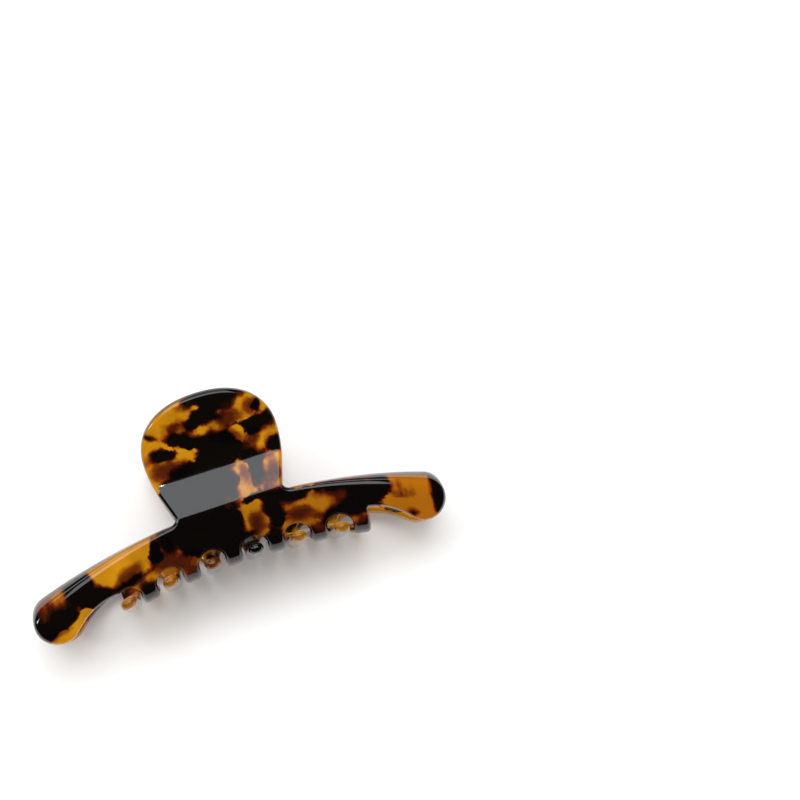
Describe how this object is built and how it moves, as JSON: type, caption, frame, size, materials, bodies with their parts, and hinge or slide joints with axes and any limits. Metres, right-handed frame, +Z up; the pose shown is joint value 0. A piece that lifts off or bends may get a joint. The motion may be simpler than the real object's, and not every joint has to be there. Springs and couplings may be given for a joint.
{
  "type": "claw clip",
  "caption": "Hinged hair claw of bent tortoiseshell acetate: crescent jaws with interlocking curved teeth, round finger tabs, steel pin and coil spring.",
  "frame": {"origin": "centre of the bounding box on the surface the clip lies on", "axes": "+X along the clip's length, +Y from the teeth towards the finger tabs, +Z up out of the front jaw"},
  "size_m": [0.1078, 0.0528, 0.0439],
  "materials": {
    "acetate": "polished tortoiseshell acetate, amber with near-black blotches",
    "ear_acetate": "cut and glued acetate, amber and brown",
    "pin_steel": "drawn wire, bright",
    "spring_steel": "wound spring wire, bright"
  },
  "bodies": {
    "rear": {"rear_jaw": "acetate", "rear_ear_outer": "ear_acetate", "rear_ear_inner": "ear_acetate", "hinge_pin": "pin_steel", "torsion_spring": "spring_steel"},
    "front": {"front_jaw": "acetate", "front_ear_outer": "ear_acetate", "front_ear_inner": "ear_acetate"}
  },
  "joints": [
    {"name": "jaw_hinge", "type": "hinge", "parent": "rear", "child": "front", "pos_m": [0, 0.00593, 0.01879], "axis": [-1, 0, 0], "range_deg": [0, 88], "stiffness_Nm_per_rad": 0.12, "springref_deg": -51.57, "deforming": ["torsion_spring"]}
  ]
}
